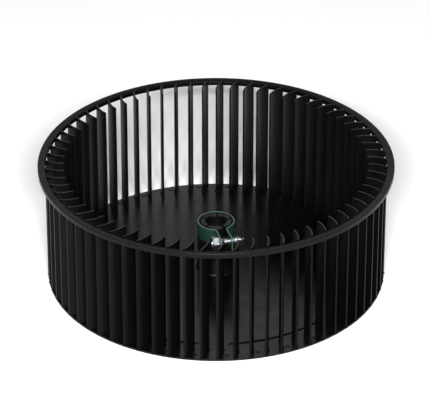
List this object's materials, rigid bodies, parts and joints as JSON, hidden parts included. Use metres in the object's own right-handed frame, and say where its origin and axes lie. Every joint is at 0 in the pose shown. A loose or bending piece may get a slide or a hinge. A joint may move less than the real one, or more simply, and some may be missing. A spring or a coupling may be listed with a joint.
{
  "type": "blower motor wheel",
  "caption": "Centrifugal blower wheel: open-ended cage of forward-curved blades on a flat back plate, with a split-finger hub and a screw clamp for the motor shaft.",
  "frame": {"origin": "on the wheel axis, in the plane of the back plate underside", "axes": "+Z along the wheel axis towards the open end; the clamp screw lies on the -Y side of the hub"},
  "size_m": [0.2286, 0.2286, 0.0808],
  "materials": {
    "moulded_plastic": "moulded, slightly glossy black",
    "clamp_sheet": "dark green coated sheet steel",
    "screw_steel": "bright zinc plate"
  },
  "bodies": {
    "wheel": {"rim_ring": "moulded_plastic", "blades": "moulded_plastic", "back_plate": "moulded_plastic", "hub_boss": "moulded_plastic", "hub_finger_1": "moulded_plastic", "hub_finger_2": "moulded_plastic", "hub_finger_3": "moulded_plastic", "hub_finger_4": "moulded_plastic", "hub_finger_5": "moulded_plastic"},
    "clamp": {"clamp_band": "clamp_sheet"},
    "clamp_free_half": {"clamp_free_half": "clamp_sheet"},
    "screw": {"clamp_screw": "screw_steel"}
  },
  "joints": [
    {"name": "clamp_swivel", "type": "hinge", "parent": "wheel", "child": "clamp", "pos_m": [0, 0, 0.03175], "axis": [0, 0, 1], "continuous": true},
    {"name": "clamp_squeeze", "type": "hinge", "parent": "clamp", "child": "clamp_free_half", "pos_m": [0, 0.01113, 0.03175], "axis": [0, 0, -1], "range_deg": [0, 3.5]},
    {"name": "screw_turn", "type": "hinge", "parent": "clamp", "child": "screw", "pos_m": [0.00463, -0.01802, 0.03175], "axis": [0.9686, 0.2487, 0], "range_deg": [0, 350]}
  ],
  "couplings": [
    {"joint": "clamp_squeeze", "follows": "screw_turn", "ratio": 0.009751}
  ]
}
